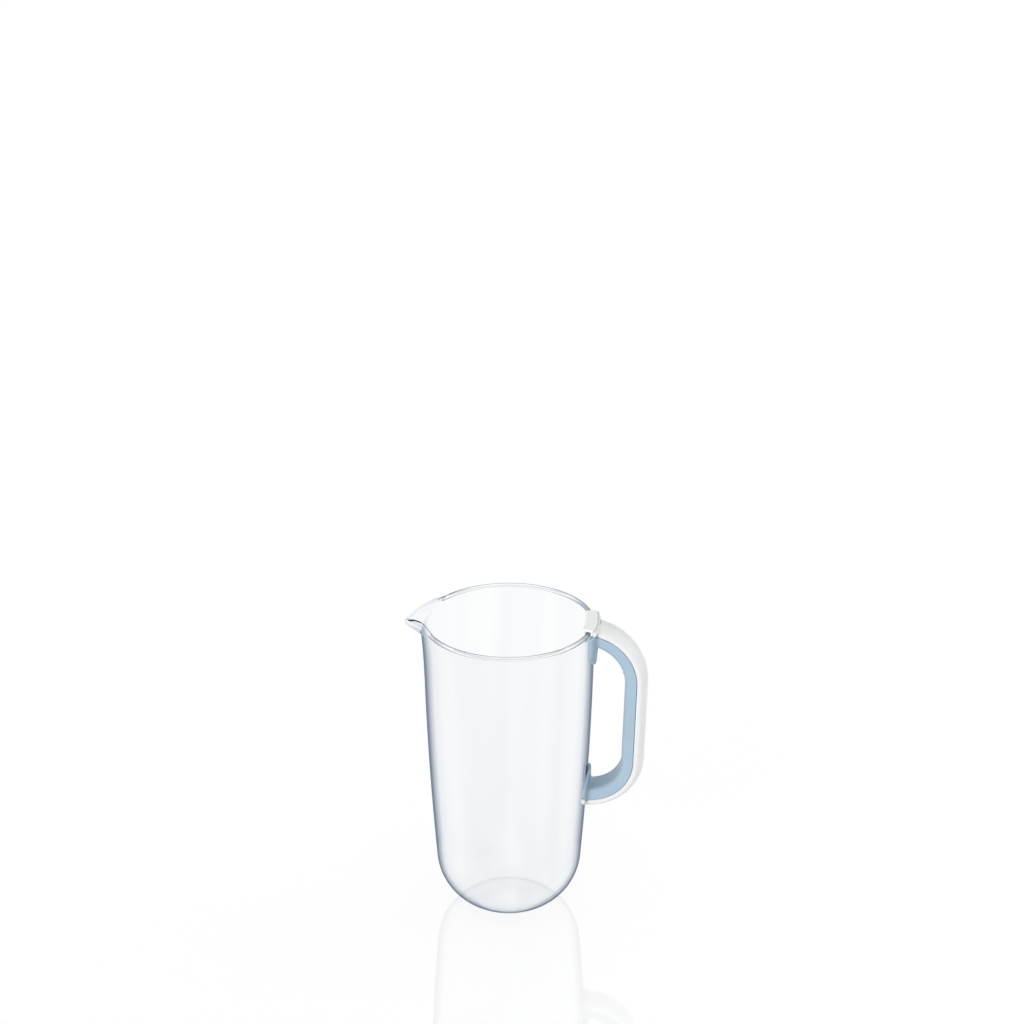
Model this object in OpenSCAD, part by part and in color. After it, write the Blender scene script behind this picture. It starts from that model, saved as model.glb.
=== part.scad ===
// Tall glass water jug with a pinched pouring lip and a two-piece loop handle.
// Millimetres. The origin is on the table under the jug's axis, +Z is up,
// the lip points along -X and the handle along +X.

/* [Glass vessel] */
// Outer diameter across the rim
rim_d = 134; // [126:1:142]
// Height from the table to the rim
jug_h = 248.5; // [230:0.5:270]
// Thickness of the glass wall
wall_t = 3.2; // [2.6:0.1:4]
// How much thicker than the wall the fire-polished bead at the rim is
bead_extra = 0.5; // [0.3:0.1:1.2]
// Radius of the slow barrel curve of the wall
wall_bow_r = 2800; // [2200:50:4000]
// Radius of the heel curve between wall and base
heel_r = 46.7; // [42:0.1:49]
// Radius of the ring on which the heel curve is centred
heel_pitch_r = 10.9; // [8:0.1:14]
// How much of the heel curve the flat foot cuts off
foot_cut = 2.5; // [1.5:0.1:4]
// Width of the ring that stands on the table
foot_ring_w = 5; // [3:0.1:8]
// Rise of the hollow under the base
punt_rise = 1.2; // [0.6:0.1:2]
// Thickness of the glass floor
floor_t = 4.5; // [3.8:0.1:7]

/* [Pouring lip] */
// How far the tip of the lip stands out from the rim
lip_out = 14.6; // [11:0.1:17]
// Height of the lip's crest above the rim
lip_rise = 2.6; // [1:0.1:4]
// Radius of the crest, seen from the side
crest_r = 17; // [14:0.5:22]
// How far the crest lies inside the rim's outline
crest_in = 1.5; // [0:0.1:4]
// Slope of the lip from its crest down to the tip, in degrees
lip_fall = 32; // [24:1:38]
// Half the angle between the two sides of the beak, in degrees
beak_half_angle = 49; // [42:1:56]
// Radius of the beak's nose, outside
nose_r = 4.6; // [4.4:0.1:7]
// Radius of the hollow curve under the beak
keel_r = 28; // [24:0.5:32]
// Depth of the top of that curve below the rim
keel_drop = 6; // [4.5:0.1:8]
// How far the centre of that curve lies ahead of the tip
keel_ahead = 7.4; // [5:0.1:10]
// Inside radius of the pinched trough behind the beak
trough_r = 50; // [44:0.5:56]
// Depth below the rim at which the trough leaves the wall
trough_drop = 28; // [22:0.5:36]
// Outward lean of the trough, in degrees
trough_lean = 6.5; // [5:0.1:8.5]

/* [Handle loop] */
// Distance from the rim to the face where grip and cover meet
handle_out = 33.9; // [29:0.1:44]
// Depth below the rim of that face at the top of the loop
arm_drop = 5.5; // [4.5:0.1:9]
// Length of the straight run between the bends
run_l = 67.6; // [50:0.1:85]
// Radius of the upper bend
upper_bend_r = 42; // [36:0.1:44]
// Radius of the lower bend
lower_bend_r = 35; // [30:0.1:40]
// Inward lean of the straight run, in degrees
grip_lean = 1.75; // [0:0.05:3]
// Width of the handle
arm_w = 24; // [20:0.5:30]

/* [Grip] */
// Thickness of the grip from its finger side to the parting face
grip_t = 9.4; // [8:0.1:12]
// Radius of the grip's finger-side edges
grip_edge_r = 3.8; // [2:0.1:4.5]
// Thickness of the moulded walls of grip and cover
shell_t = 2.4; // [1.8:0.1:3]
// Length of solid grip at each root, as a turn of the bend in degrees
root_turn = 32; // [24:1:40]

/* [Cover] */
// Height of the cover's flat sides
cover_side = 3.5; // [2.6:0.1:5]
// Height of the crowned back above its sides
cover_crown = 4.8; // [3:0.1:6]
// Gap at the parting face
part_gap = 0.3; // [0.2:0.05:0.5]
// Thickness of the ribs that locate the cover inside the grip
rib_t = 1.6; // [1.2:0.1:2.2]
// Depth of those ribs inside the grip
rib_depth = 4; // [2.5:0.1:4.5]
// Gap between those ribs and the grip
rib_gap = 0.25; // [0.2:0.05:0.5]

/* [Saddles] */
// Thickness of the two saddles that hold the glass
saddle_t = 2.5; // [2.2:0.1:3.5]
// Width of the upper saddle
upper_saddle_w = 45.4; // [38:0.1:52]
// Height of the upper saddle
upper_saddle_h = 29.6; // [24:0.1:36]
// Width of the lower saddle
lower_saddle_w = 40.8; // [34:0.1:48]
// Height of the lower saddle
lower_saddle_h = 22.8; // [18:0.1:28]
// Radius of the rounded free end of a saddle, and of the lower saddle's root
saddle_end_r = 27; // [26:0.5:32]
// How far outside the arm the lower saddle's root begins to rise
root_flat = 1; // [0.5:0.1:3]
// Length over which a saddle tapers toward its free end
saddle_thin_l = 11; // [8:0.5:14]
// Thickness of a saddle at its free end
saddle_tip_t = 1.8; // [1:0.1:2.1]
// Thickness of the adhesive film under a saddle
bond_t = 0.4; // [0.3:0.05:0.8]
// Clearance on each side of the film
bond_gap = 0.1; // [0.05:0.05:0.2]
// How far the film stays inside the saddle's outline
bond_inset = 1.5; // [1:0.1:3]

/* [Rim clip] */
// Width of the clip along the rim
clip_w = 36; // [28:0.5:44]
// Thickness of the clip's leg inside the jug
clip_inner_t = 2.6; // [2:0.1:3.5]
// Thickness of the clip's leg outside the jug
clip_outer_t = 1.4; // [1.2:0.1:2]
// Thickness of the clip's roof over the rim
clip_roof_t = 2; // [1.5:0.1:3]
// Depth of the inner leg below the rim
clip_inner_h = 10; // [7:0.5:14]
// Depth of the outer leg below the rim
clip_outer_h = 2.8; // [2.6:0.1:3.5]
// Clearance between the clip and its neighbours
clip_gap = 0.3; // [0.2:0.05:0.5]
// Thickness of the cover's collar behind the clip
collar_t = 2.4; // [2:0.1:3.5]
// Depth of the groove between the clip and the cover's crown
collar_dip = 1.6; // [0.8:0.1:2.2]
// Gap between the collar and the front of the crown
crown_gap = 0.4; // [0.2:0.1:1]
// Radius of the clip's edges
clip_edge_r = 0.6; // [0.3:0.05:0.65]
// Radius of the snap ridge on the clip's outer leg
ridge_r = 0.6; // [0.4:0.05:0.8]

/* [Hidden] */
$fn = 128;
// The long wall curve is a small piece of a very large circle
bow_fn = 3600;
// Overshoot of cutting solids past the faces that they cut
over = 20;

// Wall: one arc through the rim that runs tangent into the heel arc
rim_r = rim_d / 2;
bead_d = wall_t + bead_extra;
bead_z = jug_h - bead_d / 2;
wall_top = [rim_r - bead_extra / 2, bead_z];
heel_c = [heel_pitch_r, heel_r - foot_cut];
heel_span = norm(heel_c - wall_top);
heel_dir = (heel_c - wall_top) / heel_span;
bow_along = (heel_span ^ 2 + wall_bow_r ^ 2 - (wall_bow_r - heel_r) ^ 2) / (2 * heel_span);
bow_aside = sqrt(wall_bow_r ^ 2 - bow_along ^ 2);
bow_c = wall_top + bow_along * heel_dir + bow_aside * [heel_dir.y, -heel_dir.x];
touch_dir = (heel_c - bow_c) / norm(heel_c - bow_c);

// Radius of the wall at a height, set in from the outside by t
function wall_r(z, t = 0) = bow_c.x + sqrt((wall_bow_r - t) ^ 2 - (z - bow_c.y) ^ 2);
// Height at which the wall arc, set in by t, turns into the heel arc
function touch_z(t) = heel_c.y + (heel_r - t) * touch_dir.y;

// Foot ring and the hollow inside it
foot_r = heel_pitch_r + sqrt(heel_r ^ 2 - (heel_r - foot_cut) ^ 2);
punt_base_r = foot_r - foot_ring_w;
punt_r = (punt_base_r ^ 2 + punt_rise ^ 2) / (2 * punt_rise);

// Lip, measured outward from the axis and up from the table
tip_r = rim_r + lip_out;
crest_c = [rim_r - crest_in, jug_h + lip_rise - crest_r];
keel_c = [tip_r + keel_ahead, jug_h - keel_drop - keel_r];
beak_turn = 90 - beak_half_angle;
trough_z = jug_h - trough_drop;
// Distance of a beak side from the axis, for a side turned by turn degrees
function side_r(turn) = (tip_r - nose_r) * cos(turn) + nose_r;

// Handle path: two bends joined by a straight run, turned by the lean about the upper bend
bend_turn = 90;
channel_turn = bend_turn - root_turn;
upper_c = [rim_r + handle_out - upper_bend_r, jug_h - arm_drop - upper_bend_r];
bend_step = upper_bend_r - lower_bend_r;
parting_low_z = upper_c.y - bend_step * sin(grip_lean) - run_l * cos(grip_lean) - lower_bend_r;

// Saddles, films and clip
bond_zone = bond_t + 2 * bond_gap;
rib_end_turn = 1;
crown_r = ((arm_w / 2) ^ 2 + cover_crown ^ 2) / (2 * cover_crown);
collar_r = rim_r + 2 * clip_gap + clip_outer_t;
collar_low_z = jug_h - clip_outer_h - clip_gap;
clip_top_z = jug_h + clip_gap + clip_roof_t;
collar_top_z = clip_top_z - collar_dip;
ridge_z = jug_h - clip_outer_h / 2;
clip_turn = asin(clip_w / 2 / rim_r);
upper_saddle_z = collar_low_z - part_gap;
lower_saddle_z = parting_low_z;
saddle_far = bond_zone + saddle_t;
// The lower saddle's root is level under the arm and rises as an arc on both sides of it
root_c_h = sqrt(saddle_end_r ^ 2 - (arm_w / 2 + root_flat) ^ 2);

// Half section of the solid inside the wall, set in by t, between two heights
module vessel_2d(t, low, high) {
    split = touch_z(t);
    intersection() {
        translate(bow_c) circle(r = wall_bow_r - t, $fn = bow_fn);
        translate([0, split]) square([rim_d, high - split]);
    }
    intersection() {
        translate(heel_c) circle(r = heel_r - t);
        translate([0, low]) square([rim_d, split - low]);
    }
    translate([0, low]) square([heel_pitch_r, split - low]);
}

// Everything inside the wall and on up past the rim, set in by t
module vessel_core(t) {
    rotate_extrude() vessel_2d(t, floor_t, jug_h + over);
}

// Revolved wall with its bead, floor and foot
module vessel_wall() {
    rotate_extrude() {
        difference() {
            vessel_2d(0, 0, bead_z);
            vessel_2d(wall_t, floor_t, jug_h);
            translate([0, punt_rise - punt_r]) circle(r = punt_r, $fn = bow_fn);
            translate([-rim_d, -over]) square([rim_d, jug_h]);
        }
        translate([wall_top.x - wall_t / 2, bead_z]) circle(d = bead_d);
    }
}

// Leaning cylinder that makes the trough, grown outward by t
module trough(t) {
    translate([-wall_r(trough_z, wall_t), 0, trough_z])
        rotate([0, -trough_lean, 0])
            translate([trough_r, 0, -trough_drop])
                cylinder(r = trough_r + t, h = 2 * trough_drop + over);
}

// Side outline of the beak, set in by t, with its nose at distance reach
module beak_2d(reach, t) {
    difference() {
        translate([0, keel_c.y + wall_t]) square([reach - t, jug_h + over - keel_c.y - wall_t]);
        translate([reach + keel_ahead, keel_c.y]) circle(r = keel_r + t);
    }
}

// Beak: the same side outline drawn out level in three directions
module beak(t) {
    intersection_for (turn = [-beak_turn, 0, beak_turn])
        rotate([90, 0, 180 + turn])
            translate([0, 0, -rim_d])
                linear_extrude(height = 2 * rim_d) beak_2d(side_r(turn), t);
}

// Space under the curve of the lip, seen from the side
module lip_space() {
    touch = crest_c + crest_r * [sin(lip_fall), cos(lip_fall)];
    far = [tip_r + over, touch.y - (tip_r + over - touch.x) * tan(lip_fall)];
    low_z = keel_c.y - over;
    rotate([90, 0, 180])
        translate([0, 0, -rim_r])
            linear_extrude(height = rim_d) {
                translate(crest_c) circle(r = crest_r);
                polygon([crest_c, touch, far, [far.x, low_z],
                    [crest_c.x - crest_r, low_z], [crest_c.x - crest_r, crest_c.y]]);
            }
}

module glass_jug() {
    color([0.80, 0.88, 0.92, 0.45])
        difference() {
            union() {
                vessel_wall();
                difference() {
                    intersection() {
                        union() {
                            trough(wall_t);
                            beak(0);
                        }
                        lip_space();
                    }
                    vessel_core(wall_t / 2);
                }
            }
            trough(0);
            beak(wall_t);
        }
}

// Places the handle path, with the upper bend's centre at its origin
module loop_frame() {
    translate([upper_c.x, 0, upper_c.y]) rotate([0, grip_lean, 0]) children();
}

// Handle section swept upward round a bend from level
module bend(radius, turn) {
    rotate([90, 0, 0]) rotate_extrude(angle = turn) translate([radius, 0]) children();
}

// Handle section drawn level from the end of a bend to the jug's axis
module arm(radius) {
    rotate([0, -90, 0]) linear_extrude(height = upper_c.x) translate([radius, 0]) children();
}

// Handle section swept along the run and, by turn degrees, round each bend
module loop_sweep(turn) {
    bend(upper_bend_r, turn) children();
    translate([upper_bend_r, 0, -run_l]) {
        linear_extrude(height = run_l) children();
        mirror([0, 0, 1]) translate([-lower_bend_r, 0, 0]) bend(lower_bend_r, turn) children();
    }
}

// Handle section swept along the whole path, from the axis and back to it
module loop_whole() {
    loop_sweep(bend_turn) children();
    arm(upper_bend_r) children();
    translate([bend_step, 0, -run_l]) mirror([0, 0, 1]) arm(lower_bend_r) children();
}

// Closed outline of the grip, with the parting face at x = 0
module grip_2d() {
    flat = grip_t - grip_edge_r;
    translate([-flat, -arm_w / 2]) square([flat, arm_w]);
    translate([-grip_t, grip_edge_r - arm_w / 2]) square([grip_t, arm_w - 2 * grip_edge_r]);
    for (side = [-1, 1])
        translate([-flat, side * (arm_w / 2 - grip_edge_r)]) circle(r = grip_edge_r);
}

// Channel in the grip, open at the parting face
module grip_channel_2d() {
    translate([shell_t - grip_t, shell_t - arm_w / 2]) square([2 * grip_t, arm_w - 2 * shell_t]);
}

// Saddle outline on the handle's side of the glass, free end up or down
module saddle_2d(width, height, inset) {
    intersection() {
        translate([inset - width / 2, inset]) square([width - 2 * inset, height]);
        translate([0, height - saddle_end_r]) circle(r = saddle_end_r - inset);
    }
}

module upper_saddle_2d(inset) {
    saddle_2d(upper_saddle_w, upper_saddle_h, inset);
}

// The lower saddle's root rises on both sides of the arm
module lower_saddle_2d(inset) {
    intersection() {
        saddle_2d(lower_saddle_w, lower_saddle_h, inset);
        translate([0, root_c_h]) circle(r = saddle_end_r - inset);
    }
}

// Strip of the cover that follows the lower saddle's root
module flange_2d() {
    translate([0, root_c_h])
        intersection() {
            difference() {
                circle(r = saddle_end_r + cover_side);
                circle(r = saddle_end_r + part_gap);
            }
            translate([-lower_saddle_w / 2, -2 * saddle_end_r]) square([lower_saddle_w, 2 * saddle_end_r]);
        }
}

// Outline wrapped on the wall as a plate between two distances from it, free end up or down
module wall_plate(root_z, up, near, far) {
    intersection() {
        translate([0, 0, root_z])
            mirror([0, 0, up > 0 ? 0 : 1])
                rotate([90, 0, 90])
                    linear_extrude(height = rim_d) children();
        rotate_extrude()
            difference() {
                vessel_2d(-far, floor_t, jug_h + over);
                vessel_2d(-near, 0, jug_h + 2 * over);
            }
    }
}

// Saddle: a wall plate that tapers toward its free end
module saddle(height, root_z, up) {
    taper_z = root_z + up * (height - saddle_thin_l);
    tip_z = root_z + up * height;
    start = [wall_r(taper_z, -saddle_far), taper_z];
    tip = [wall_r(tip_z, -bond_zone - saddle_tip_t), tip_z];
    back = 2 * start - tip;
    ahead = 2 * tip - start;
    difference() {
        wall_plate(root_z, up, bond_zone, saddle_far) children();
        rotate_extrude() polygon([back, ahead, [rim_d, ahead.y], [rim_d, back.y]]);
    }
}

module handle_grip() {
    color([0.68, 0.80, 0.87])
        union() {
            difference() {
                loop_frame()
                    difference() {
                        loop_whole() grip_2d();
                        loop_sweep(channel_turn) grip_channel_2d();
                    }
                vessel_core(-bond_zone);
            }
            saddle(upper_saddle_h, upper_saddle_z, -1) upper_saddle_2d(0);
            saddle(lower_saddle_h, lower_saddle_z, 1) lower_saddle_2d(0);
        }
}

// Crowned back of the cover over the parting face, hollow inside
module cover_2d() {
    peak = cover_side + cover_crown;
    difference() {
        intersection() {
            translate([peak - crown_r, 0]) circle(r = crown_r);
            translate([part_gap, -arm_w / 2]) square([peak, arm_w]);
        }
        intersection() {
            translate([peak - crown_r, 0]) circle(r = crown_r - shell_t);
            translate([-over, shell_t - arm_w / 2]) square([over + peak, arm_w - 2 * shell_t]);
        }
    }
}

// The two ribs that reach from the cover into the grip's channel
module cover_ribs_2d() {
    outer = arm_w / 2 - shell_t - rib_gap;
    inner = outer - rib_t;
    for (side = [0, 1])
        mirror([0, side]) {
            translate([-rib_depth, inner]) square([rib_depth + part_gap + cover_side, rib_t]);
            translate([part_gap, inner]) square([cover_side - part_gap, arm_w / 2 - shell_t / 2 - inner]);
        }
}

// Part ring round the jug's axis, turned either way from the handle's middle
module sector(half_turn) {
    rotate([0, 0, -half_turn]) rotate_extrude(angle = 2 * half_turn) children();
}

module handle_cover() {
    saddle_clear_r = wall_r(collar_low_z, -saddle_far - part_gap);
    crown_front_r = collar_r + collar_t + crown_gap;
    color([0.94, 0.94, 0.93])
        difference() {
            union() {
                loop_frame() {
                    loop_whole() cover_2d();
                    loop_sweep(channel_turn - rib_end_turn) cover_ribs_2d();
                }
                sector(clip_turn)
                    translate([rim_r, collar_low_z])
                        square([collar_r + collar_t - rim_r, collar_top_z - collar_low_z]);
                wall_plate(lower_saddle_z, 1, bond_zone, saddle_far) flange_2d();
            }
            vessel_core(-bond_zone);
            rotate_extrude()
                polygon([[0, collar_low_z - over], [saddle_clear_r, collar_low_z - over],
                    [saddle_clear_r, collar_low_z], [collar_r, collar_low_z],
                    [collar_r, collar_top_z], [crown_front_r, collar_top_z],
                    [crown_front_r, jug_h + over], [0, jug_h + over]]);
            rotate_extrude()
                translate([collar_r, ridge_z]) circle(r = ridge_r);
        }
}

// Rectangle with round corners, given by its low corner and its far corner
module rounded_2d(low, high, radius) {
    size = high - low;
    translate(low) {
        translate([radius, 0]) square([size.x - 2 * radius, size.y]);
        translate([0, radius]) square([size.x, size.y - 2 * radius]);
        for (x = [radius, size.x - radius], y = [radius, size.y - radius])
            translate([x, y]) circle(r = radius);
    }
}

module rim_clip() {
    inner_r = rim_r - bead_d - clip_gap - clip_inner_t;
    outer_r = collar_r - clip_gap;
    top = [outer_r, clip_top_z];
    color([0.90, 0.93, 0.94, 0.6])
        sector(clip_turn) {
            rounded_2d([inner_r, jug_h - clip_inner_h], [inner_r + clip_inner_t, clip_top_z], clip_edge_r);
            rounded_2d([inner_r, jug_h + clip_gap], top, clip_edge_r);
            rounded_2d([outer_r - clip_outer_t, jug_h - clip_outer_h], top, clip_edge_r);
            translate([outer_r, ridge_z]) circle(r = ridge_r);
        }
}

module upper_bond() {
    color([0.86, 0.90, 0.92, 0.5])
        wall_plate(upper_saddle_z, -1, bond_gap, bond_gap + bond_t) upper_saddle_2d(bond_inset);
}

module lower_bond() {
    color([0.86, 0.90, 0.92, 0.5])
        wall_plate(lower_saddle_z, 1, bond_gap, bond_gap + bond_t) lower_saddle_2d(bond_inset);
}

glass_jug();
handle_grip();
handle_cover();
rim_clip();
upper_bond();
lower_bond();
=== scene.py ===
import math

import bmesh
import bpy
from mathutils import Matrix, Vector


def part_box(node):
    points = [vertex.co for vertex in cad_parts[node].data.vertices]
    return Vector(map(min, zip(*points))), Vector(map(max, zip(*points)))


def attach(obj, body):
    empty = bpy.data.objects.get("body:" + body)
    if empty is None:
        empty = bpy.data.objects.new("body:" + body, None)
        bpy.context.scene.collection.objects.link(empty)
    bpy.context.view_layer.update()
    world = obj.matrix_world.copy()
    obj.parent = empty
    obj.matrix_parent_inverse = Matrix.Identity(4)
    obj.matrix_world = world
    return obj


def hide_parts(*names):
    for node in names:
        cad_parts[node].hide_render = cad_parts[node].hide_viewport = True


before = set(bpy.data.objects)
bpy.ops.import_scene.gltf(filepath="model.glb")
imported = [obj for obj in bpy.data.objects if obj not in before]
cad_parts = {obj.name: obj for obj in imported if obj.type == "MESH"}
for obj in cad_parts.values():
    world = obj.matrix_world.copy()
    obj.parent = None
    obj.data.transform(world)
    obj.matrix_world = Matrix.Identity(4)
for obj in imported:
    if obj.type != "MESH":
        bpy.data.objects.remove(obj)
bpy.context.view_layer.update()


# Glass vessel: a tall jug of clear soda-lime glass, blown in a mould and fire-polished at the rim.
# Its half outline is drawn as arcs and spun; the lip is then pinched out of the hot wall as a trough,
# a beak with a hollow keel under it, and an edge that rises to a crest and falls to the tip.
MM = 0.001
WALL_T = 3.2 * MM
BEAD_R = 1.85 * MM
BOW_R = 2800 * MM
HEEL_R = 46.7 * MM
HEEL_PITCH_R = 10.9 * MM
FOOT_CUT = 2.5 * MM
FOOT_RING_W = 5 * MM
PUNT_RISE = 1.2 * MM
FLOOR_T = 4.5 * MM
LIP_RISE = 2.6 * MM
PINCH_DROP = 34 * MM
BEAK_LOW_DROP = 19 * MM
jug_low, jug_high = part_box("glass_jug")
rim_r = jug_high.y
tip_r = -jug_low.x
jug_h = jug_high.z - LIP_RISE

bead_c = Vector((rim_r - BEAD_R, 0, jug_h - BEAD_R))
wall_top = bead_c + Vector((WALL_T / 2, 0, 0))
heel_c = Vector((HEEL_PITCH_R, 0, HEEL_R - FOOT_CUT))
heel_span = (heel_c - wall_top).length
heel_way = (heel_c - wall_top) / heel_span
bow_along = (heel_span ** 2 + BOW_R ** 2 - (BOW_R - HEEL_R) ** 2) / (2 * heel_span)
bow_aside = math.sqrt(BOW_R ** 2 - bow_along ** 2)
bow_c = wall_top + bow_along * heel_way + bow_aside * Vector((heel_way.z, 0, -heel_way.x))
touch_way = (heel_c - bow_c).normalized()


def wall_r(z, inset=0.0):
    """Radius of the wall at a height, measured inset inward from the outside."""
    return bow_c.x + math.sqrt((BOW_R - inset) ** 2 - (z - bow_c.z) ** 2)


def wall_place(z, inset=0.0):
    """Place on the wall's outline at a height."""
    return Vector((wall_r(z, inset), 0, z))


def draw_arc(bm, vert, centre, end, steps):
    """Draws an outline on from a vertex, round a centre in the XZ plane, and gives its last vertex."""
    start_way, end_way = vert.co - centre, end - centre
    turn = math.atan2(end_way.x, end_way.z) - math.atan2(start_way.x, start_way.z)
    turn = (turn + math.pi) % (2 * math.pi) - math.pi
    made = bmesh.ops.spin(bm, geom=[vert], cent=centre, axis=(0, 1, 0), angle=turn, steps=steps)
    return next(g for g in made["geom_last"] if isinstance(g, bmesh.types.BMVert))


def draw_line(bm, vert, end):
    """Draws an outline straight on from a vertex, and gives its last vertex."""
    last = bm.verts.new(end)
    bm.edges.new((vert, last))
    return last


def round_off(bm, geom, radius, steps, affect="EDGES"):
    """Rounds edges, or the corners of an outline, to a radius."""
    bmesh.ops.bevel(bm, geom=geom, offset=radius, offset_type="OFFSET", segments=steps,
                    profile=0.5, affect=affect, material=-1)


foot_r = HEEL_PITCH_R + math.sqrt(HEEL_R ** 2 - (HEEL_R - FOOT_CUT) ** 2)
punt_base_r = foot_r - FOOT_RING_W
punt_r = (punt_base_r ** 2 + PUNT_RISE ** 2) / (2 * PUNT_RISE)
punt_c = Vector((0, 0, PUNT_RISE - punt_r))
neck_z = bead_c.z - math.sqrt(BEAD_R ** 2 - (WALL_T / 2) ** 2)
pinch_z = jug_h - PINCH_DROP
beak_low_z = jug_h - BEAK_LOW_DROP
floor_r = HEEL_PITCH_R + math.sqrt((HEEL_R - WALL_T) ** 2 - (heel_c.z - FLOOR_T) ** 2)

# The rows stand closest in the band that the beak and its keel are pinched from
PUNT_STEPS = 5
HEEL_STEPS = 26
HEEL_INSIDE_STEPS = 24
WALL_STEPS = 12
BEAK_STEPS = 46
BEAD_STEPS = 7
FOOT_INNER_EDGE_R = 0.8 * MM
FOOT_OUTER_EDGE_R = 2 * MM
NECK_EDGE_R = 0.5 * MM
FLOOR_EDGE_R = 2 * MM
FLOOR_RING = 1 / 3
CORNER_STEPS = 3
glass_bm = bmesh.new()
outline = glass_bm.verts.new((0, 0, PUNT_RISE))
outline = draw_arc(glass_bm, outline, punt_c, Vector((punt_base_r, 0, 0)), PUNT_STEPS)
foot_inner = outline
outline = draw_line(glass_bm, outline, (foot_r, 0, 0))
foot_outer = outline
outline = draw_arc(glass_bm, outline, heel_c, heel_c + HEEL_R * touch_way, HEEL_STEPS)
outline = draw_arc(glass_bm, outline, bow_c, wall_place(pinch_z), WALL_STEPS)
outline = draw_arc(glass_bm, outline, bow_c, wall_place(beak_low_z), WALL_STEPS)
outline = draw_arc(glass_bm, outline, bow_c, wall_place(neck_z), BEAK_STEPS)
neck_outer = outline
outline = draw_arc(glass_bm, outline, bead_c, bead_c + Vector((0, 0, BEAD_R)), BEAD_STEPS)
outline = draw_arc(glass_bm, outline, bead_c, wall_place(neck_z, WALL_T), BEAD_STEPS)
neck_inner = outline
outline = draw_arc(glass_bm, outline, bow_c, wall_place(beak_low_z, WALL_T), BEAK_STEPS)
outline = draw_arc(glass_bm, outline, bow_c, wall_place(pinch_z, WALL_T), WALL_STEPS)
outline = draw_arc(glass_bm, outline, bow_c, heel_c + (HEEL_R - WALL_T) * touch_way, WALL_STEPS)
outline = draw_arc(glass_bm, outline, heel_c, Vector((floor_r, 0, FLOOR_T)), HEEL_INSIDE_STEPS)
floor_edge = outline
outline = draw_line(glass_bm, outline, (floor_r * FLOOR_RING, 0, FLOOR_T))
outline = draw_line(glass_bm, outline, (0, 0, FLOOR_T))
for corner, radius in (
    (foot_inner, FOOT_INNER_EDGE_R),
    (foot_outer, FOOT_OUTER_EDGE_R),
    (neck_outer, NECK_EDGE_R),
    (neck_inner, NECK_EDGE_R),
    (floor_edge, FLOOR_EDGE_R),
):
    round_off(glass_bm, [corner], radius, CORNER_STEPS, "VERTICES")

# The columns stand closer together in the part of the wall that the lip is pinched from
LIP_SECTOR = math.radians(68)
LIP_COLUMNS = 170
BODY_COLUMNS = 195
MERGE_REACH = 0.002 * MM
AXIS = (0, 0, 1)
bmesh.ops.rotate(glass_bm, verts=glass_bm.verts[:], cent=(0, 0, 0),
                 matrix=Matrix.Rotation(math.pi - LIP_SECTOR / 2, 3, "Z"))
pinched = bmesh.ops.spin(glass_bm, geom=glass_bm.verts[:] + glass_bm.edges[:], cent=(0, 0, 0),
                         axis=AXIS, angle=LIP_SECTOR, steps=LIP_COLUMNS)
bmesh.ops.spin(glass_bm, geom=pinched["geom_last"], cent=(0, 0, 0),
               axis=AXIS, angle=2 * math.pi - LIP_SECTOR, steps=BODY_COLUMNS)
bmesh.ops.remove_doubles(glass_bm, verts=glass_bm.verts[:], dist=MERGE_REACH)

# While the vessel is still round, each face is marked as outside, inside, bead, the bead's neck or
# the painted dark line on the bead's inner shoulder; what the lip takes from them is marked after the
# pinching
OUTSIDE, INSIDE, BEAD, NECK, LIP, LIP_INSIDE, PAINTED_LIP_LINE = range(7)
# The painted dark line runs in this span below the rim's top, on the inward faces
PAINTED_LINE_START = 0.1 * MM
PAINTED_LINE_END = 1.6 * MM
FLOOR_FACING = 0.5
bead_low_z = bead_c.z - BEAD_R / 3
bmesh.ops.recalc_face_normals(glass_bm, faces=glass_bm.faces[:])
for face in glass_bm.faces:
    spot = face.calc_center_median()
    inward = face.normal.x * spot.x + face.normal.y * spot.y < 0
    if PAINTED_LINE_START < jug_h - spot.z < PAINTED_LINE_END and inward:
        face.material_index = PAINTED_LIP_LINE
    elif spot.z > bead_low_z:
        face.material_index = BEAD
    elif spot.z > neck_z:
        face.material_index = NECK
    elif face.normal.z > FLOOR_FACING or inward:
        face.material_index = INSIDE

TROUGH_R = 50 * MM
TROUGH_LEAN = math.radians(6.5)
TROUGH_DROP = 28 * MM
BEAK_TURN = math.radians(41)
NOSE_R = 4.6 * MM
NOSE_BLEND = 5 * MM
KEEL_R = 28 * MM
KEEL_DROP = 6 * MM
KEEL_AHEAD = 7.4 * MM
KEEL_BLEND = 3 * MM
CREST_R = 17 * MM
CREST_IN = 1.5 * MM
LIP_FALL = math.radians(32)
LIP_BLEND = 2.2 * MM
EDGE_BLEND = 1.4 * MM
EDGE_RUN = 6 * MM
EDGE_THIN = 0.55
EDGE_ACROSS = 0.3
trough_z = jug_h - TROUGH_DROP
keel_z = jug_h - KEEL_DROP - KEEL_R
beak_side = (tip_r - NOSE_R) * math.cos(BEAK_TURN) + NOSE_R
crest_a = rim_r - CREST_IN
crest_z = jug_h + LIP_RISE - CREST_R


def soft_max(a, b, blend):
    """The larger of two lengths, rounded over where they come close."""
    near = max(blend - abs(a - b), 0)
    return max(a, b) + near * near / (4 * blend)


def trough_reach(turn, z, inset):
    """How far the trough stands out from the axis at a height, turned aside from the lip's middle."""
    trough_c = wall_r(trough_z, WALL_T) + (z - trough_z) * math.tan(TROUGH_LEAN) - TROUGH_R
    trough_side = trough_c * math.sin(turn)
    return trough_c * math.cos(turn) + math.sqrt((TROUGH_R + WALL_T - inset) ** 2 - trough_side ** 2)


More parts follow.
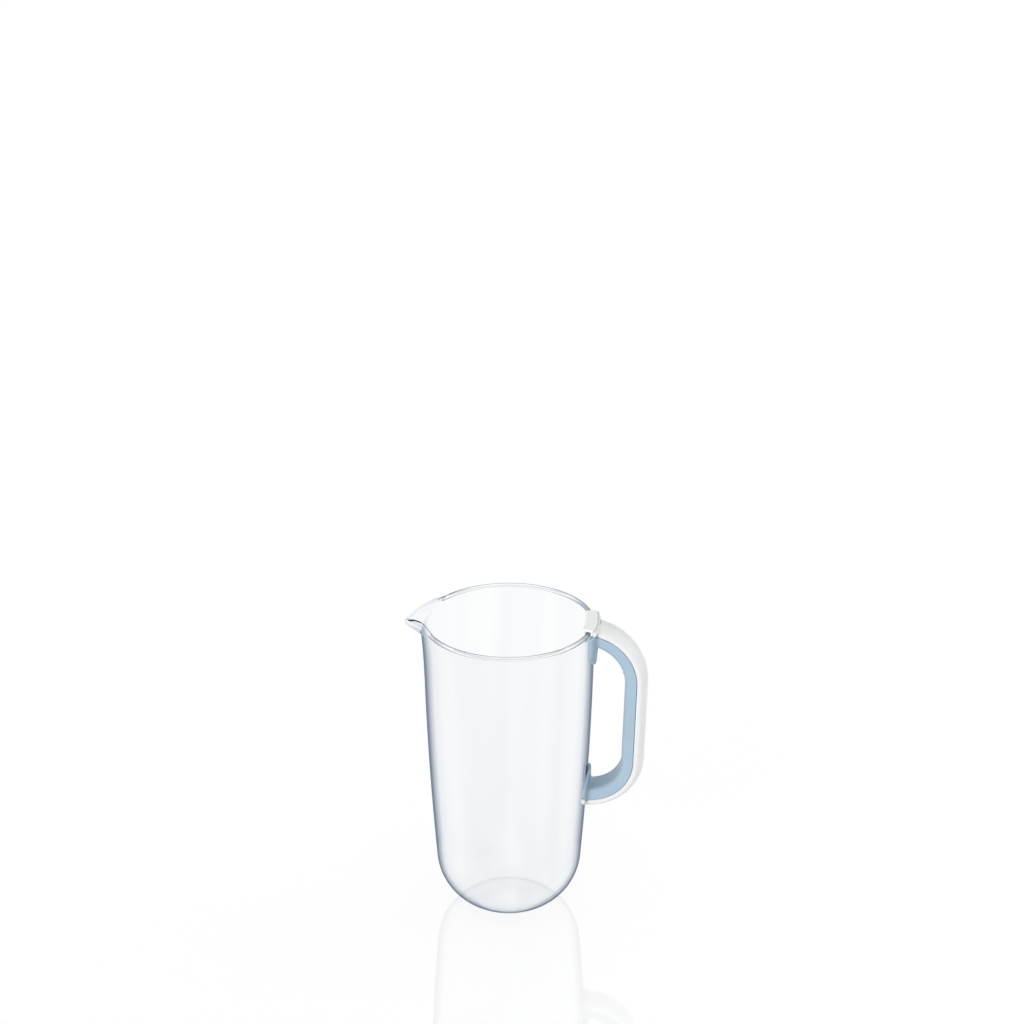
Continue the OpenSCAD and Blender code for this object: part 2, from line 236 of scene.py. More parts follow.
def beak_reach(turn, z, inset):
    """How far the beak stands out from the axis at a height, turned aside from the lip's middle."""
    keel = math.sqrt(max((KEEL_R + inset) ** 2 - (z - keel_z) ** 2, 0)) - KEEL_AHEAD
    side = beak_side - soft_max(keel, inset, KEEL_BLEND)
    left, right = side / math.cos(BEAK_TURN - turn), side / math.cos(BEAK_TURN + turn)
    return -soft_max(-left, -right, NOSE_BLEND)


def lip_reach(turn, z, inset):
    """How far the whole lip stands out from the axis."""
    return soft_max(trough_reach(turn, z, inset), beak_reach(turn, z, inset), LIP_BLEND)


def pinched_r(turn, z, inset):
    """Radius of the wall and the lip together."""
    return soft_max(wall_r(z, inset), lip_reach(turn, z, inset), LIP_BLEND)


def lip_top(turn):
    """Height of the lip's edge: level, up over the crest, then straight down to the tip."""
    along = pinched_r(turn, jug_h, WALL_T / 2) * math.cos(turn) - crest_a
    if along > CREST_R * math.sin(LIP_FALL):
        fallen = along - CREST_R * math.sin(LIP_FALL)
        return crest_z + CREST_R * math.cos(LIP_FALL) - fallen * math.tan(LIP_FALL)
    crest = crest_z + math.sqrt(max(CREST_R ** 2 - along ** 2, 0))
    return soft_max(jug_h, crest, EDGE_BLEND)


# Each vertex keeps its place across the wall, and the wall gets thinner toward the lip's edge. The lip
# counts as begun where it reaches as far as the wall: there the blend adds a quarter of its own width
LIP_START = LIP_BLEND / 4
beak_verts, lip_verts = set(), set()
for vert in glass_bm.verts:
    turn = math.atan2(vert.co.y, -vert.co.x)
    if vert.co.z < pinch_z or abs(turn) > LIP_SECTOR / 2:
        continue
    z = vert.co.z
    across = (wall_r(z) - math.hypot(vert.co.x, vert.co.y)) / WALL_T
    edge_near = max(z - jug_h + EDGE_RUN, 0) / EDGE_RUN
    z = pinch_z + (z - pinch_z) * (lip_top(turn) - pinch_z) / (jug_h - pinch_z)
    out_move, in_move = (pinched_r(turn, z, inset) - wall_r(z, inset) for inset in (0, WALL_T))
    thinned = EDGE_THIN * edge_near * min(out_move / EDGE_RUN, 1)
    across += (EDGE_ACROSS - across) * thinned
    radius = wall_r(z) - across * WALL_T + out_move * (1 - across) + in_move * across
    vert.co = Vector((-radius * math.cos(turn), radius * math.sin(turn), z))
    if out_move > LIP_START:
        lip_verts.add(vert)
    if beak_reach(turn, z, 0) > trough_reach(turn, z, 0):
        beak_verts.add(vert)

# The painted dark line keeps to the lip; elsewhere its faces go back to bead
for face in glass_bm.faces:
    if face.material_index == PAINTED_LIP_LINE and not lip_verts.issuperset(face.verts):
        face.material_index = BEAD
    elif face.material_index in (BEAD, NECK) and lip_verts.issuperset(face.verts):
        face.material_index = LIP
    elif face.material_index in (OUTSIDE, INSIDE) and beak_verts.issuperset(face.verts):
        face.material_index = LIP_INSIDE if face.material_index == INSIDE else LIP


def finish_mesh(bm, name):
    """Turns a mesh's faces outward and makes it a smooth-shaded piece that rides on the jug."""
    bmesh.ops.recalc_face_normals(bm, faces=bm.faces[:])
    mesh = bpy.data.meshes.new(name)
    bm.to_mesh(mesh)
    bm.free()
    mesh.shade_smooth()
    piece = bpy.data.objects.new(name, mesh)
    bpy.context.scene.collection.objects.link(piece)
    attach(piece, "root")
    return piece


# Clear glass lets the lamps through to what is behind it, so it throws no lamp shadow
glass = finish_mesh(glass_bm, "glass_vessel")
glass.visible_shadow = False
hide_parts("glass_jug")


def linear(code):
    """A colour written as an sRGB hex value, as the linear values that shaders take."""
    parts = [int(code[i:i + 2], 16) / 255 for i in (1, 3, 5)]
    return [c / 12.92 if c <= 0.04045 else ((c + 0.055) / 1.055) ** 2.4 for c in parts] + [1]


def add_node(tree, kind, sockets=(), links=(), **settings):
    """Adds a node with its settings, the values of its sockets and the links that feed it."""
    node = tree.nodes.new(kind)
    for name, value in settings.items():
        setattr(node, name, value)
    for name, value in dict(sockets).items():
        node.inputs[name].default_value = value
    for name, source in dict(links).items():
        tree.links.new(source, node.inputs[name])
    return node


def new_material(name):
    """An empty node material, with its tree and its output node."""
    material = bpy.data.materials.new(name)
    material.use_nodes = True
    material.node_tree.nodes.clear()
    return material, material.node_tree, add_node(material.node_tree, "ShaderNodeOutputMaterial")


# Soda-lime glass, fire-polished: clear in the middle and grey where the eye meets a skin edge on. That
# grey
# is painted shade set by the facing angle: partly the wall's own absorption along the long way through
# it there, partly standing in for the dark that refraction gives at edges. The outside darkens slowly
# over the round of the body, the bead in two fine painted lines over a painted grey neck, the lip in one
# painted dark line, and the inside not at all. A thin, even wall hardly moves what is behind it, so only
# the round bead and its neck bend light as a solid rod does. Slow upright bands in the tint are painted
# reflections of soft lamps, and upright waves in the bump tell of a wall drawn in a mould. The skins
# come in the order of the marks.
GLASS_CLEAR = "#FCFDFD"
GLASS_PALE = "#F7F8FA"
# Painted shade: each skin's tint darkens along these stops as the skin turns edge on to the eye
OUTSIDE_EDGE_SHADE = (
    (0.48, "#FFFFFF"), (0.54, "#FBFCFD"), (0.6, "#F3F4F7"), (0.64, "#E3E5EA"), (0.667, "#D5D8DD"),
    (0.695, "#C8CCD2"), (0.724, "#B9BFC8"), (0.76, "#A2AAB7"), (0.8, "#8691A1"), (1.0, "#606B7C"),
)
INSIDE_EDGE = ((0.0, "#FFFFFF"), (1.0, "#FFFFFF"))
BEAD_LINE_SHADE = ((0.26, "#FFFFFF"), (0.42, "#757F8F"), (1.0, "#1E2632"))
NECK_EDGE = ((0.0, "#CED3DA"), (1.0, "#B4BBC5"))
LIP_SIDE_SHADE = ((0.3, "#FFFFFF"), (0.7, "#E6E8F0"), (0.9, "#A5AEBE"), (1.0, "#404A5C"))
LIP_INSIDE_SHADE = ((0.0, "#FFFFFF"), (1.0, "#E4E9F0"))
LIP_LINE_SHADE = ((0.42, "#E6EAF0"), (0.52, "#0A1220"), (1.0, "#03060C"))
WALL_INDEX = 1.003
BEAD_INDEX = 1.5
# Size of the painted reflection bands, which mix the pale and the clear tint
REFLECTION_BAND_WIDTH = 26 * MM
REFLECTION_BAND_STRETCH = 0.04
WAVE_WIDTH = 14 * MM
WAVE_STRETCH = 0.12
WAVE_DEPTH = 0.012 * MM
for skin, index, ramp in (
    ("outside", WALL_INDEX, OUTSIDE_EDGE_SHADE),
    ("inside", WALL_INDEX, INSIDE_EDGE),
    ("bead", BEAD_INDEX, BEAD_LINE_SHADE),
    ("neck", BEAD_INDEX, NECK_EDGE),
    ("lip", WALL_INDEX, LIP_SIDE_SHADE),
    ("lip_inside", WALL_INDEX, LIP_INSIDE_SHADE),
    ("lip_painted_line", WALL_INDEX, LIP_LINE_SHADE),
):
    glass_mat, tree, out = new_material("soda_lime_glass_" + skin)
    place = add_node(tree, "ShaderNodeTexCoord").outputs["Object"]
    # Painted reflection: upright bands of paler and clearer tint, for soft lamps mirrored in the wall
    tall = add_node(tree, "ShaderNodeMapping", {"Scale": (1, 1, REFLECTION_BAND_STRETCH)}, {"Vector": place})
    bands = add_node(tree, "ShaderNodeTexNoise", {"Scale": 1 / REFLECTION_BAND_WIDTH, "Detail": 1.0},
                     {"Vector": tall.outputs["Vector"]})
    band = add_node(tree, "ShaderNodeMapRange", {"From Min": 0.35, "From Max": 0.65},
                    {"Value": bands.outputs["Fac"]})
    tint = add_node(tree, "ShaderNodeMix", {"A": linear(GLASS_PALE), "B": linear(GLASS_CLEAR)},
                    {"Factor": band.outputs["Result"]}, data_type="RGBA")
    # Painted shade: the tint darkens by the facing angle, after the ramp of each skin
    facing = add_node(tree, "ShaderNodeLayerWeight", {"Blend": 0.5})
    edge = add_node(tree, "ShaderNodeValToRGB", links={"Fac": facing.outputs["Facing"]})
    stops = edge.color_ramp.elements
    stops[0].position, stops[-1].position = ramp[0][0], ramp[-1][0]
    for position, colour in ramp[1:-1]:
        stops.new(position)
    for stop, (position, colour) in zip(stops, ramp):
        stop.color = linear(colour)
    shaded_tint = add_node(tree, "ShaderNodeMix", {"Factor": 1.0},
                      {"A": tint.outputs["Result"], "B": edge.outputs["Color"]},
                      data_type="RGBA", blend_type="MULTIPLY")
    upright = add_node(tree, "ShaderNodeMapping", {"Scale": (1, 1, WAVE_STRETCH)}, {"Vector": place})
    waves = add_node(tree, "ShaderNodeTexNoise", {"Scale": 1 / WAVE_WIDTH, "Detail": 1.0},
                     {"Vector": upright.outputs["Vector"]})
    wavy = add_node(tree, "ShaderNodeBump", {"Strength": 1.0, "Distance": WAVE_DEPTH},
                    {"Height": waves.outputs["Fac"]})
    glass_shader = add_node(tree, "ShaderNodeBsdfPrincipled",
                            {"Transmission Weight": 1.0, "Roughness": 0.0, "IOR": index},
                            {"Base Color": shaded_tint.outputs["Result"], "Normal": wavy.outputs["Normal"]})
    tree.links.new(glass_shader.outputs["BSDF"], out.inputs["Surface"])
    glass.data.materials.append(glass_mat)


# Adhesive films: two sheets of clear cured adhesive, pressed flat between the saddles and the glass.
# Their shape is right as it is, so the nodes stay and only take a finish. A film this thin wets the
# saddle behind it and takes on its blue, a little cloudy where the adhesive flowed.
FILM_TINT = "#BED1DD"
FILM_TINT_DEEP = "#B3C9D8"
FILM_FLOW = 3 * MM
film_mat, tree, out = new_material("clear_adhesive_film")
place = add_node(tree, "ShaderNodeTexCoord").outputs["Object"]
flow = add_node(tree, "ShaderNodeTexNoise", {"Scale": 1 / FILM_FLOW, "Detail": 3.0}, {"Vector": place})
cloudy = add_node(tree, "ShaderNodeMapRange", {"To Min": 0.12, "To Max": 0.3},
                  {"Value": flow.outputs["Fac"]})
tone = add_node(tree, "ShaderNodeMix", {"A": linear(FILM_TINT), "B": linear(FILM_TINT_DEEP)},
                {"Factor": flow.outputs["Fac"]}, data_type="RGBA")
film_shader = add_node(tree, "ShaderNodeBsdfPrincipled", {"Transmission Weight": 0.2, "IOR": 1.2},
                       {"Base Color": tone.outputs["Result"], "Roughness": cloudy.outputs["Result"]})
tree.links.new(film_shader.outputs["BSDF"], out.inputs["Surface"])
for name in ("upper_bond", "lower_bond"):
    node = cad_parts[name]
    node.data.materials.clear()
    node.data.materials.append(film_mat)


# Grip: the light blue finger half of the handle, one satin moulding in polypropylene with a channel
# along its back. One section is swept round the loop; both ends run out with a fillet into saddles
# that are wrapped on the glass, bonded to it, and a little thinner at their free ends.
LEAN = math.radians(1.75)
HANDLE_OUT = 33.9 * MM
ARM_DROP = 5.5 * MM
UPPER_BEND_R = 42 * MM
LOWER_BEND_R = 35 * MM
RUN_L = 67.6 * MM
ARM_HALF = 12 * MM
GRIP_T = 9.4 * MM
GRIP_EDGE_R = 3.8 * MM
PARTING_EDGE_R = 0.45 * MM
SHELL_T = 2.4 * MM
UPPER_BEND_STEPS = 40
RUN_STEPS = 12
LOWER_BEND_STEPS = 44
QUARTER = math.pi / 2
upper_c = Vector((rim_r + HANDLE_OUT - UPPER_BEND_R, 0, jug_h - ARM_DROP - UPPER_BEND_R))
loop_place = Matrix.Translation(upper_c) @ Matrix.Rotation(LEAN, 4, "Y")
bend_step = Vector((UPPER_BEND_R - LOWER_BEND_R, 0, -RUN_L))
lower_c = loop_place @ bend_step
parting_low_z = lower_c.z - LOWER_BEND_R


def draw_ring(bm, corners):
    """Draws a closed outline in the XZ plane from corners with their radii, and gives its edges."""
    verts = [bm.verts.new((x, 0, z)) for x, z, radius in corners]
    for k, vert in enumerate(verts):
        bm.edges.new((verts[k - 1], vert))
    for vert, (x, z, radius) in zip(verts, corners):
        round_off(bm, [vert], radius, CORNER_STEPS + round(radius / MM), "VERTICES")
    return bm.edges[:]


def ring_verts(ring):
    """The vertices of a ring of edges."""
    return list({vert for edge in ring for vert in edge.verts})


def draw_on(bm, ring, way=(0, 0, 0)):
    """Extrudes a ring of edges by a vector, and gives the new ring."""
    made = bmesh.ops.extrude_edge_only(bm, edges=ring)["geom"]
    verts = {g for g in made if isinstance(g, bmesh.types.BMVert)}
    bmesh.ops.translate(bm, verts=list(verts), vec=way)
    return [g for g in made if isinstance(g, bmesh.types.BMEdge) and verts.issuperset(g.verts)]


def turn_on(bm, ring, centre, axis, angle, steps):
    """Spins a ring of edges on round an axis, and gives the last ring."""
    made = bmesh.ops.spin(bm, geom=ring + ring_verts(ring), cent=centre, axis=axis, angle=angle,
                          steps=steps)
    return [g for g in made["geom_last"] if isinstance(g, bmesh.types.BMEdge)]


def sweep_loop(bm, upper_start, lower_start):
    """Sweeps the section that a mesh holds round the loop, and gives the rings at its two ends."""
    first = bm.edges[:]
    across = (0, 1, 0)
    stand_up = Matrix.Translation((0, 0, UPPER_BEND_R)) @ Matrix.Rotation(QUARTER, 4, "Z")
    bmesh.ops.transform(bm, matrix=Matrix.Rotation(upper_start, 4, "Y") @ stand_up, verts=bm.verts[:])
    ring = turn_on(bm, first, (0, 0, 0), across, QUARTER - upper_start, UPPER_BEND_STEPS)
    for step in range(RUN_STEPS):
        ring = draw_on(bm, ring, (0, 0, -RUN_L / RUN_STEPS))
    last = turn_on(bm, ring, bend_step, across, QUARTER - lower_start, LOWER_BEND_STEPS)
    bmesh.ops.transform(bm, matrix=loop_place, verts=bm.verts[:])
    return first, last


MEET_REPEATS = 5


def meet(vert, centre, reach):
    """Turns a vertex about its bend until it is as far from the jug's axis as its height asks."""
    for repeat in range(MEET_REPEATS):
        arm = vert.co - centre
        spare = math.hypot(vert.co.x, vert.co.y) - reach(vert.co.z)
        vert.co = centre + Matrix.Rotation(-spare / arm.z, 3, "Y") @ arm


BOND_ZONE = 0.6 * MM
SADDLE_T = 2.5 * MM
SADDLE_TIP_T = 1.8 * MM
SADDLE_THIN_L = 11 * MM
SADDLE_END_R = 27 * MM
UPPER_SADDLE_HALF = 22.7 * MM
UPPER_SADDLE_TOP_DROP = 3.4 * MM
UPPER_SADDLE_H = 29.6 * MM
LOWER_SADDLE_HALF = 20.4 * MM
LOWER_SADDLE_H = 22.8 * MM
ROOT_FLAT = 1 * MM
ROOT_FILLET_R = 2.2 * MM
FILLET_STEPS = 4
saddle_far = BOND_ZONE + SADDLE_T


def fillet_out(bm, ring, centre, bend_r):
    """Runs an end of the grip out into its saddle with a hollow fillet, and closes it."""
    spread = 0
    for step in range(FILLET_STEPS + 1):
        turn = step / FILLET_STEPS * QUARTER
        grow = ROOT_FILLET_R * (1 - math.cos(turn)) - spread
        spread += grow
        ring = draw_on(bm, ring)
        for vert in ring_verts(ring):
            arm = (vert.co - centre) * Vector((1, 0, 1))
            height = (arm.length - bend_r) * (1 + grow / GRIP_T)
            aside = Vector((0, vert.co.y * (1 + grow / ARM_HALF), 0))
            vert.co = centre + arm.normalized() * (bend_r + height) + aside
            meet(vert, centre, lambda z: wall_r(z) + saddle_far + ROOT_FILLET_R * (1 - math.sin(turn)))
    for edge in ring:
        edge.smooth = False
    bmesh.ops.edgeloop_fill(bm, edges=ring)


def end_drop(across):
    """How far a saddle's round end falls back toward its sides."""
    return SADDLE_END_R - math.sqrt(SADDLE_END_R ** 2 - across ** 2)


def root_rise(across, outside=0.0):
    """How far the lower saddle's root, or a line outside it, rises beside the arm."""
    centre = math.sqrt(SADDLE_END_R ** 2 - (ARM_HALF + ROOT_FLAT) ** 2)
    return centre - math.sqrt((SADDLE_END_R + outside) ** 2 - across ** 2)


def saddle_t(from_tip):
    """Thickness of a saddle at a distance from its free end."""
    return SADDLE_TIP_T + (SADDLE_T - SADDLE_TIP_T) * min(from_tip / SADDLE_THIN_L, 1)


PLATE_COLUMNS = 40
PLATE_ROWS = 18
PLATE_EDGE_R = 0.6 * MM
PLATE_EDGE_TURN = 1.0


def wrap_plate(bm, half_w, low, high, thick):
    """Wraps a plate on the wall between two edges given over its width, as thick as its height asks."""
    grid = bmesh.ops.create_grid(bm, x_segments=PLATE_COLUMNS, y_segments=PLATE_ROWS, size=1)
    face_side = grid["verts"]
    for vert in face_side:
        across = vert.co.x * half_w
        z = low(across) + (high(across) - low(across)) * (vert.co.y + 1) / 2
        vert.co = (math.sqrt((wall_r(z) + BOND_ZONE + thick(z)) ** 2 - across ** 2), across, z)
    faces = list({face for vert in face_side for face in vert.link_faces})
    made = bmesh.ops.extrude_face_region(bm, geom=faces, use_keep_orig=True)["geom"]
    glass_side = [g for g in made if isinstance(g, bmesh.types.BMVert)]
    for vert in glass_side:
        vert.co.x = math.sqrt((wall_r(vert.co.z) + BOND_ZONE) ** 2 - vert.co.y ** 2)
    bm.normal_update()
    edges = {edge for vert in face_side + glass_side for edge in vert.link_edges}
    corners = [edge for edge in edges if edge.calc_face_angle(0) > PLATE_EDGE_TURN]
    round_off(bm, corners, PLATE_EDGE_R, CORNER_STEPS)


UPPER_GRIP_START = math.radians(29)
LOWER_GRIP_START = math.radians(12)
grip_bm = bmesh.new()
draw_ring(grip_bm, [(-ARM_HALF, 0, PARTING_EDGE_R), (ARM_HALF, 0, PARTING_EDGE_R),
                    (ARM_HALF, -GRIP_T, GRIP_EDGE_R), (-ARM_HALF, -GRIP_T, GRIP_EDGE_R)])
upper_root, lower_root = sweep_loop(grip_bm, UPPER_GRIP_START, LOWER_GRIP_START)
fillet_out(grip_bm, upper_root, upper_c, UPPER_BEND_R)
fillet_out(grip_bm, lower_root, lower_c, LOWER_BEND_R)
bmesh.ops.recalc_face_normals(grip_bm, faces=grip_bm.faces[:])


def parting_place(spot):
    """Turn from level, height over the parting face and way out of that face, at a place on the loop."""
    spot = loop_place.inverted() @ spot
    arm, bend_r = Vector((spot.x, 0, 0)), UPPER_BEND_R
    if spot.z > 0:
        arm = Vector((spot.x, 0, spot.z))
    elif spot.z < -RUN_L:
        arm, bend_r = Vector((spot.x - bend_step.x, 0, spot.z - bend_step.z)), LOWER_BEND_R
    return math.atan2(abs(arm.z), arm.x), arm.length - bend_r, loop_place.to_3x3() @ arm.normalized()


CHANNEL_TURN = math.radians(58)
PARTING_REACH = 0.02 * MM
channel = []
for face in grip_bm.faces:
    turn, height = parting_place(face.calc_center_median())[:2]
    if turn < CHANNEL_TURN and abs(height) < PARTING_REACH:
        channel.append(face)
bmesh.ops.inset_region(grip_bm, faces=channel, thickness=SHELL_T, use_even_offset=True)
sunk = bmesh.ops.extrude_face_region(grip_bm, geom=channel)["geom"]
bmesh.ops.delete(grip_bm, geom=[face for face in channel if face.is_valid], context="FACES_ONLY")
for vert in [g for g in sunk if isinstance(g, bmesh.types.BMVert)]:
    vert.co -= parting_place(vert.co)[2] * (GRIP_T - SHELL_T)

upper_saddle_top = jug_h - UPPER_SADDLE_TOP_DROP
upper_tip = upper_saddle_top - UPPER_SADDLE_H
lower_tip = parting_low_z + LOWER_SADDLE_H
wrap_plate(grip_bm, UPPER_SADDLE_HALF, lambda across: upper_tip + end_drop(across),
           lambda across: upper_saddle_top, lambda z: saddle_t(z - upper_tip))
wrap_plate(grip_bm, LOWER_SADDLE_HALF, lambda across: parting_low_z + max(root_rise(across), 0),
           lambda across: lower_tip - end_drop(across), lambda z: saddle_t(lower_tip - z))
grip = finish_mesh(grip_bm, "grip_moulding")
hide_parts("handle_grip")

FACE_WEIGHT = 70


def flatten_faces(piece):
    """Lets the large faces of a moulding set the shading, so that only its edges turn the light."""
    flat = piece.modifiers.new("flat_faces", "WEIGHTED_NORMAL")
    flat.weight = FACE_WEIGHT
    flat.keep_sharp = True


flatten_faces(grip)

# Polypropylene with a satin spark-eroded mould finish: an even light blue with a soft, broad sheen, its
# roughness varying a little over the grain. The real grain is finer than the eye can see at this
# distance, so it is drawn just coarse enough to break the sheen.
GRIP_BLUE = "#AFC7D7"
GRIP_BLUE_DEEP = "#A7C0D2"
POLYPROPYLENE_INDEX = 1.49
GRAIN = 0.45 * MM
GRAIN_DEPTH = 0.012 * MM
FLOW = 18 * MM
grip_mat, tree, out = new_material("satin_polypropylene")
place = add_node(tree, "ShaderNodeTexCoord").outputs["Object"]
flow = add_node(tree, "ShaderNodeTexNoise", {"Scale": 1 / FLOW, "Detail": 2.0}, {"Vector": place})
grain = add_node(tree, "ShaderNodeTexNoise", {"Scale": 1 / GRAIN, "Detail": 2.0}, {"Vector": place})
tone = add_node(tree, "ShaderNodeMix", {"A": linear(GRIP_BLUE), "B": linear(GRIP_BLUE_DEEP)},
                {"Factor": flow.outputs["Fac"]}, data_type="RGBA")
rough = add_node(tree, "ShaderNodeMapRange", {"To Min": 0.36, "To Max": 0.5},
                 {"Value": grain.outputs["Fac"]})
grained = add_node(tree, "ShaderNodeBump", {"Strength": 0.35, "Distance": GRAIN_DEPTH},
                   {"Height": grain.outputs["Fac"]})
grip_shader = add_node(tree, "ShaderNodeBsdfPrincipled", {"IOR": POLYPROPYLENE_INDEX},
                       {"Base Color": tone.outputs["Result"], "Roughness": rough.outputs["Result"],
                        "Normal": grained.outputs["Normal"]})
tree.links.new(grip_shader.outputs["BSDF"], out.inputs["Surface"])
grip.data.materials.append(grip_mat)


# Cover: the white outer half of the handle, a hollow polypropylene moulding with a crowned back.
# It is swept like the grip, snaps into the grip's channel, and ends in a collar behind the rim clip
# above and in a strip that follows the lower saddle's root below.
PART_GAP = 0.3 * MM
COVER_SIDE = 3.5 * MM
COVER_CROWN = 4.78 * MM
COVER_EDGE_R = 1.1 * MM
COVER_EDGE_STEPS = 4
CROWN_STEPS = 16
HOLLOW_STEPS = 12
UPPER_COVER_START = math.radians(24)
LOWER_COVER_START = math.radians(4)
COLLAR_R = 69 * MM
COLLAR_T = 2.4 * MM
COLLAR_DROP = 3.1 * MM
COLLAR_RISE = 0.7 * MM
COLLAR_EDGE_R = 0.5 * MM
CROWN_FRONT_R = 71.8 * MM
CROWN_FRONT_EDGE_R = 0.25 * MM
CLIP_HALF_W = 18 * MM
collar_low_z = jug_h - COLLAR_DROP
collar_top_z = jug_h + COLLAR_RISE
clip_half_turn = math.asin(CLIP_HALF_W / rim_r)
crown_r = (ARM_HALF ** 2 + COVER_CROWN ** 2) / (2 * COVER_CROWN)
crown_c = Vector((0, 0, COVER_SIDE + COVER_CROWN - crown_r))
hollow_half = ARM_HALF - SHELL_T
hollow_side = crown_c.z + math.sqrt((crown_r - SHELL_T) ** 2 - hollow_half ** 2)

cover_bm = bmesh.new()
left_low = cover_bm.verts.new((-ARM_HALF, 0, PART_GAP))
left_top = draw_line(cover_bm, left_low, (-ARM_HALF, 0, COVER_SIDE))
right_top = draw_arc(cover_bm, left_top, crown_c, Vector((ARM_HALF, 0, COVER_SIDE)), CROWN_STEPS)
right_low = draw_line(cover_bm, right_top, (ARM_HALF, 0, PART_GAP))
outline = draw_line(cover_bm, right_low, (hollow_half, 0, PART_GAP))
outline = draw_line(cover_bm, outline, (hollow_half, 0, hollow_side))
outline = draw_arc(cover_bm, outline, crown_c, Vector((-hollow_half, 0, hollow_side)), HOLLOW_STEPS)
outline = draw_line(cover_bm, outline, (-hollow_half, 0, PART_GAP))
cover_bm.edges.new((outline, left_low))
for corner, radius in (
    (left_low, PARTING_EDGE_R),
    (right_low, PARTING_EDGE_R),
    (left_top, COVER_EDGE_R),
    (right_top, COVER_EDGE_R),
):
    round_off(cover_bm, [corner], radius, COVER_EDGE_STEPS, "VERTICES")
front, foot = sweep_loop(cover_bm, UPPER_COVER_START, LOWER_COVER_START)
front = draw_on(cover_bm, front)
for vert in ring_verts(front):
    meet(vert, upper_c, lambda z: CROWN_FRONT_R)
crown_edge = [edge for edge in front if min(vert.co.z for vert in edge.verts) > collar_top_z]
front = draw_on(cover_bm, front)
for vert in ring_verts(front):
    if vert.co.z > collar_top_z:
        vert.co.z = collar_top_z - COLLAR_EDGE_R
    elif vert.co.z > collar_low_z:
        meet(vert, upper_c, lambda z: COLLAR_R + COLLAR_T / 2)
    else:
        meet(vert, upper_c, lambda z: wall_r(z) + saddle_far + PART_GAP)
bmesh.ops.edgeloop_fill(cover_bm, edges=front)
foot = draw_on(cover_bm, foot)
for vert in ring_verts(foot):
    meet(vert, lower_c, lambda z: wall_r(z) + BOND_ZONE)
bmesh.ops.edgeloop_fill(cover_bm, edges=foot)
round_off(cover_bm, crown_edge, CROWN_FRONT_EDGE_R, CORNER_STEPS)
wrap_plate(cover_bm, LOWER_SADDLE_HALF, lambda across: parting_low_z + root_rise(across, COVER_SIDE),
           lambda across: parting_low_z + root_rise(across, PART_GAP), lambda z: SADDLE_T)

SECTOR_STEPS = 32


def spin_sector(bm, corners, half_turn, edge_r):
    """Spins a closed outline round the jug's axis, as far to one side of the handle as to the other."""
    part = bmesh.new()
    first = draw_ring(part, corners)
    bmesh.ops.rotate(part, verts=part.verts[:], cent=(0, 0, 0),
                     matrix=Matrix.Rotation(-half_turn, 3, "Z"))
    last = turn_on(part, first, (0, 0, 0), AXIS, 2 * half_turn, SECTOR_STEPS)
    bmesh.ops.edgeloop_fill(part, edges=first)
    bmesh.ops.edgeloop_fill(part, edges=last)
    bmesh.ops.recalc_face_normals(part, faces=part.faces[:])
    round_off(part, first + last, edge_r, CORNER_STEPS)
    carrier = bpy.data.meshes.new("sector")
    part.to_mesh(carrier)
    part.free()
    bm.from_mesh(carrier)
    bpy.data.meshes.remove(carrier)


collar_out = COLLAR_R + COLLAR_T
collar_corners = [(COLLAR_R, collar_low_z), (collar_out, collar_low_z),
                  (collar_out, collar_top_z), (COLLAR_R, collar_top_z)]
spin_sector(cover_bm, [(x, z, COLLAR_EDGE_R) for x, z in collar_corners],
            clip_half_turn, COLLAR_EDGE_R / 2)
cover = finish_mesh(cover_bm, "cover_moulding")
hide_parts("handle_cover")
flatten_faces(cover)

# Polypropylene from a polished mould: a clean white with a clear, slightly softened gloss, faint flow
# marks along the wall and the shallow unevenness of a thin moulding that has shrunk on cooling
COVER_WHITE = "#F4F4F3"
COVER_WHITE_COOL = "#EEF0F1"
SHRINK = 7 * MM
SHRINK_DEPTH = 0.02 * MM
cover_mat, tree, out = new_material("gloss_polypropylene")
place = add_node(tree, "ShaderNodeTexCoord").outputs["Object"]
flow = add_node(tree, "ShaderNodeTexNoise", {"Scale": 1 / FLOW, "Detail": 2.0}, {"Vector": place})
shrink = add_node(tree, "ShaderNodeTexNoise", {"Scale": 1 / SHRINK, "Detail": 1.0}, {"Vector": place})
tone = add_node(tree, "ShaderNodeMix", {"A": linear(COVER_WHITE), "B": linear(COVER_WHITE_COOL)},
                {"Factor": flow.outputs["Fac"]}, data_type="RGBA")
rough = add_node(tree, "ShaderNodeMapRange", {"To Min": 0.2, "To Max": 0.3},
                 {"Value": shrink.outputs["Fac"]})
uneven = add_node(tree, "ShaderNodeBump", {"Strength": 0.5, "Distance": SHRINK_DEPTH},
                  {"Height": shrink.outputs["Fac"]})
cover_shader = add_node(tree, "ShaderNodeBsdfPrincipled", {"IOR": POLYPROPYLENE_INDEX},
                        {"Base Color": tone.outputs["Result"], "Roughness": rough.outputs["Result"],
                         "Normal": uneven.outputs["Normal"]})
tree.links.new(cover_shader.outputs["BSDF"], out.inputs["Surface"])
cover.data.materials.append(cover_mat)


# Rim clip: a half-clear polypropylene hook, moulded in one piece, that sits over the rim between the
# glass and the cover's collar and snaps into the collar with a small ridge.
CLIP_INNER_R = 60.4 * MM
CLIP_INNER_T = 2.6 * MM
CLIP_OUTER_T = 1.4 * MM
CLIP_ROOF_T = 2 * MM
CLIP_INNER_DROP = 10 * MM
CLIP_OUTER_DROP = 2.8 * MM
CLIP_EDGE_R = 0.6 * MM
CLIP_BEND_R = 0.3 * MM
RIDGE_R = 0.5 * MM
clip_low_z = jug_h - CLIP_INNER_DROP
clip_outer_low_z = jug_h - CLIP_OUTER_DROP
clip_roof_z = jug_h + PART_GAP
clip_top_z = clip_roof_z + CLIP_ROOF_T
clip_outer_r = COLLAR_R - PART_GAP
clip_leg_r = clip_outer_r - CLIP_OUTER_T
clip_wall_r = CLIP_INNER_R + CLIP_INNER_T
ridge_z = (jug_h + clip_outer_low_z) / 2
clip_bm = bmesh.new()
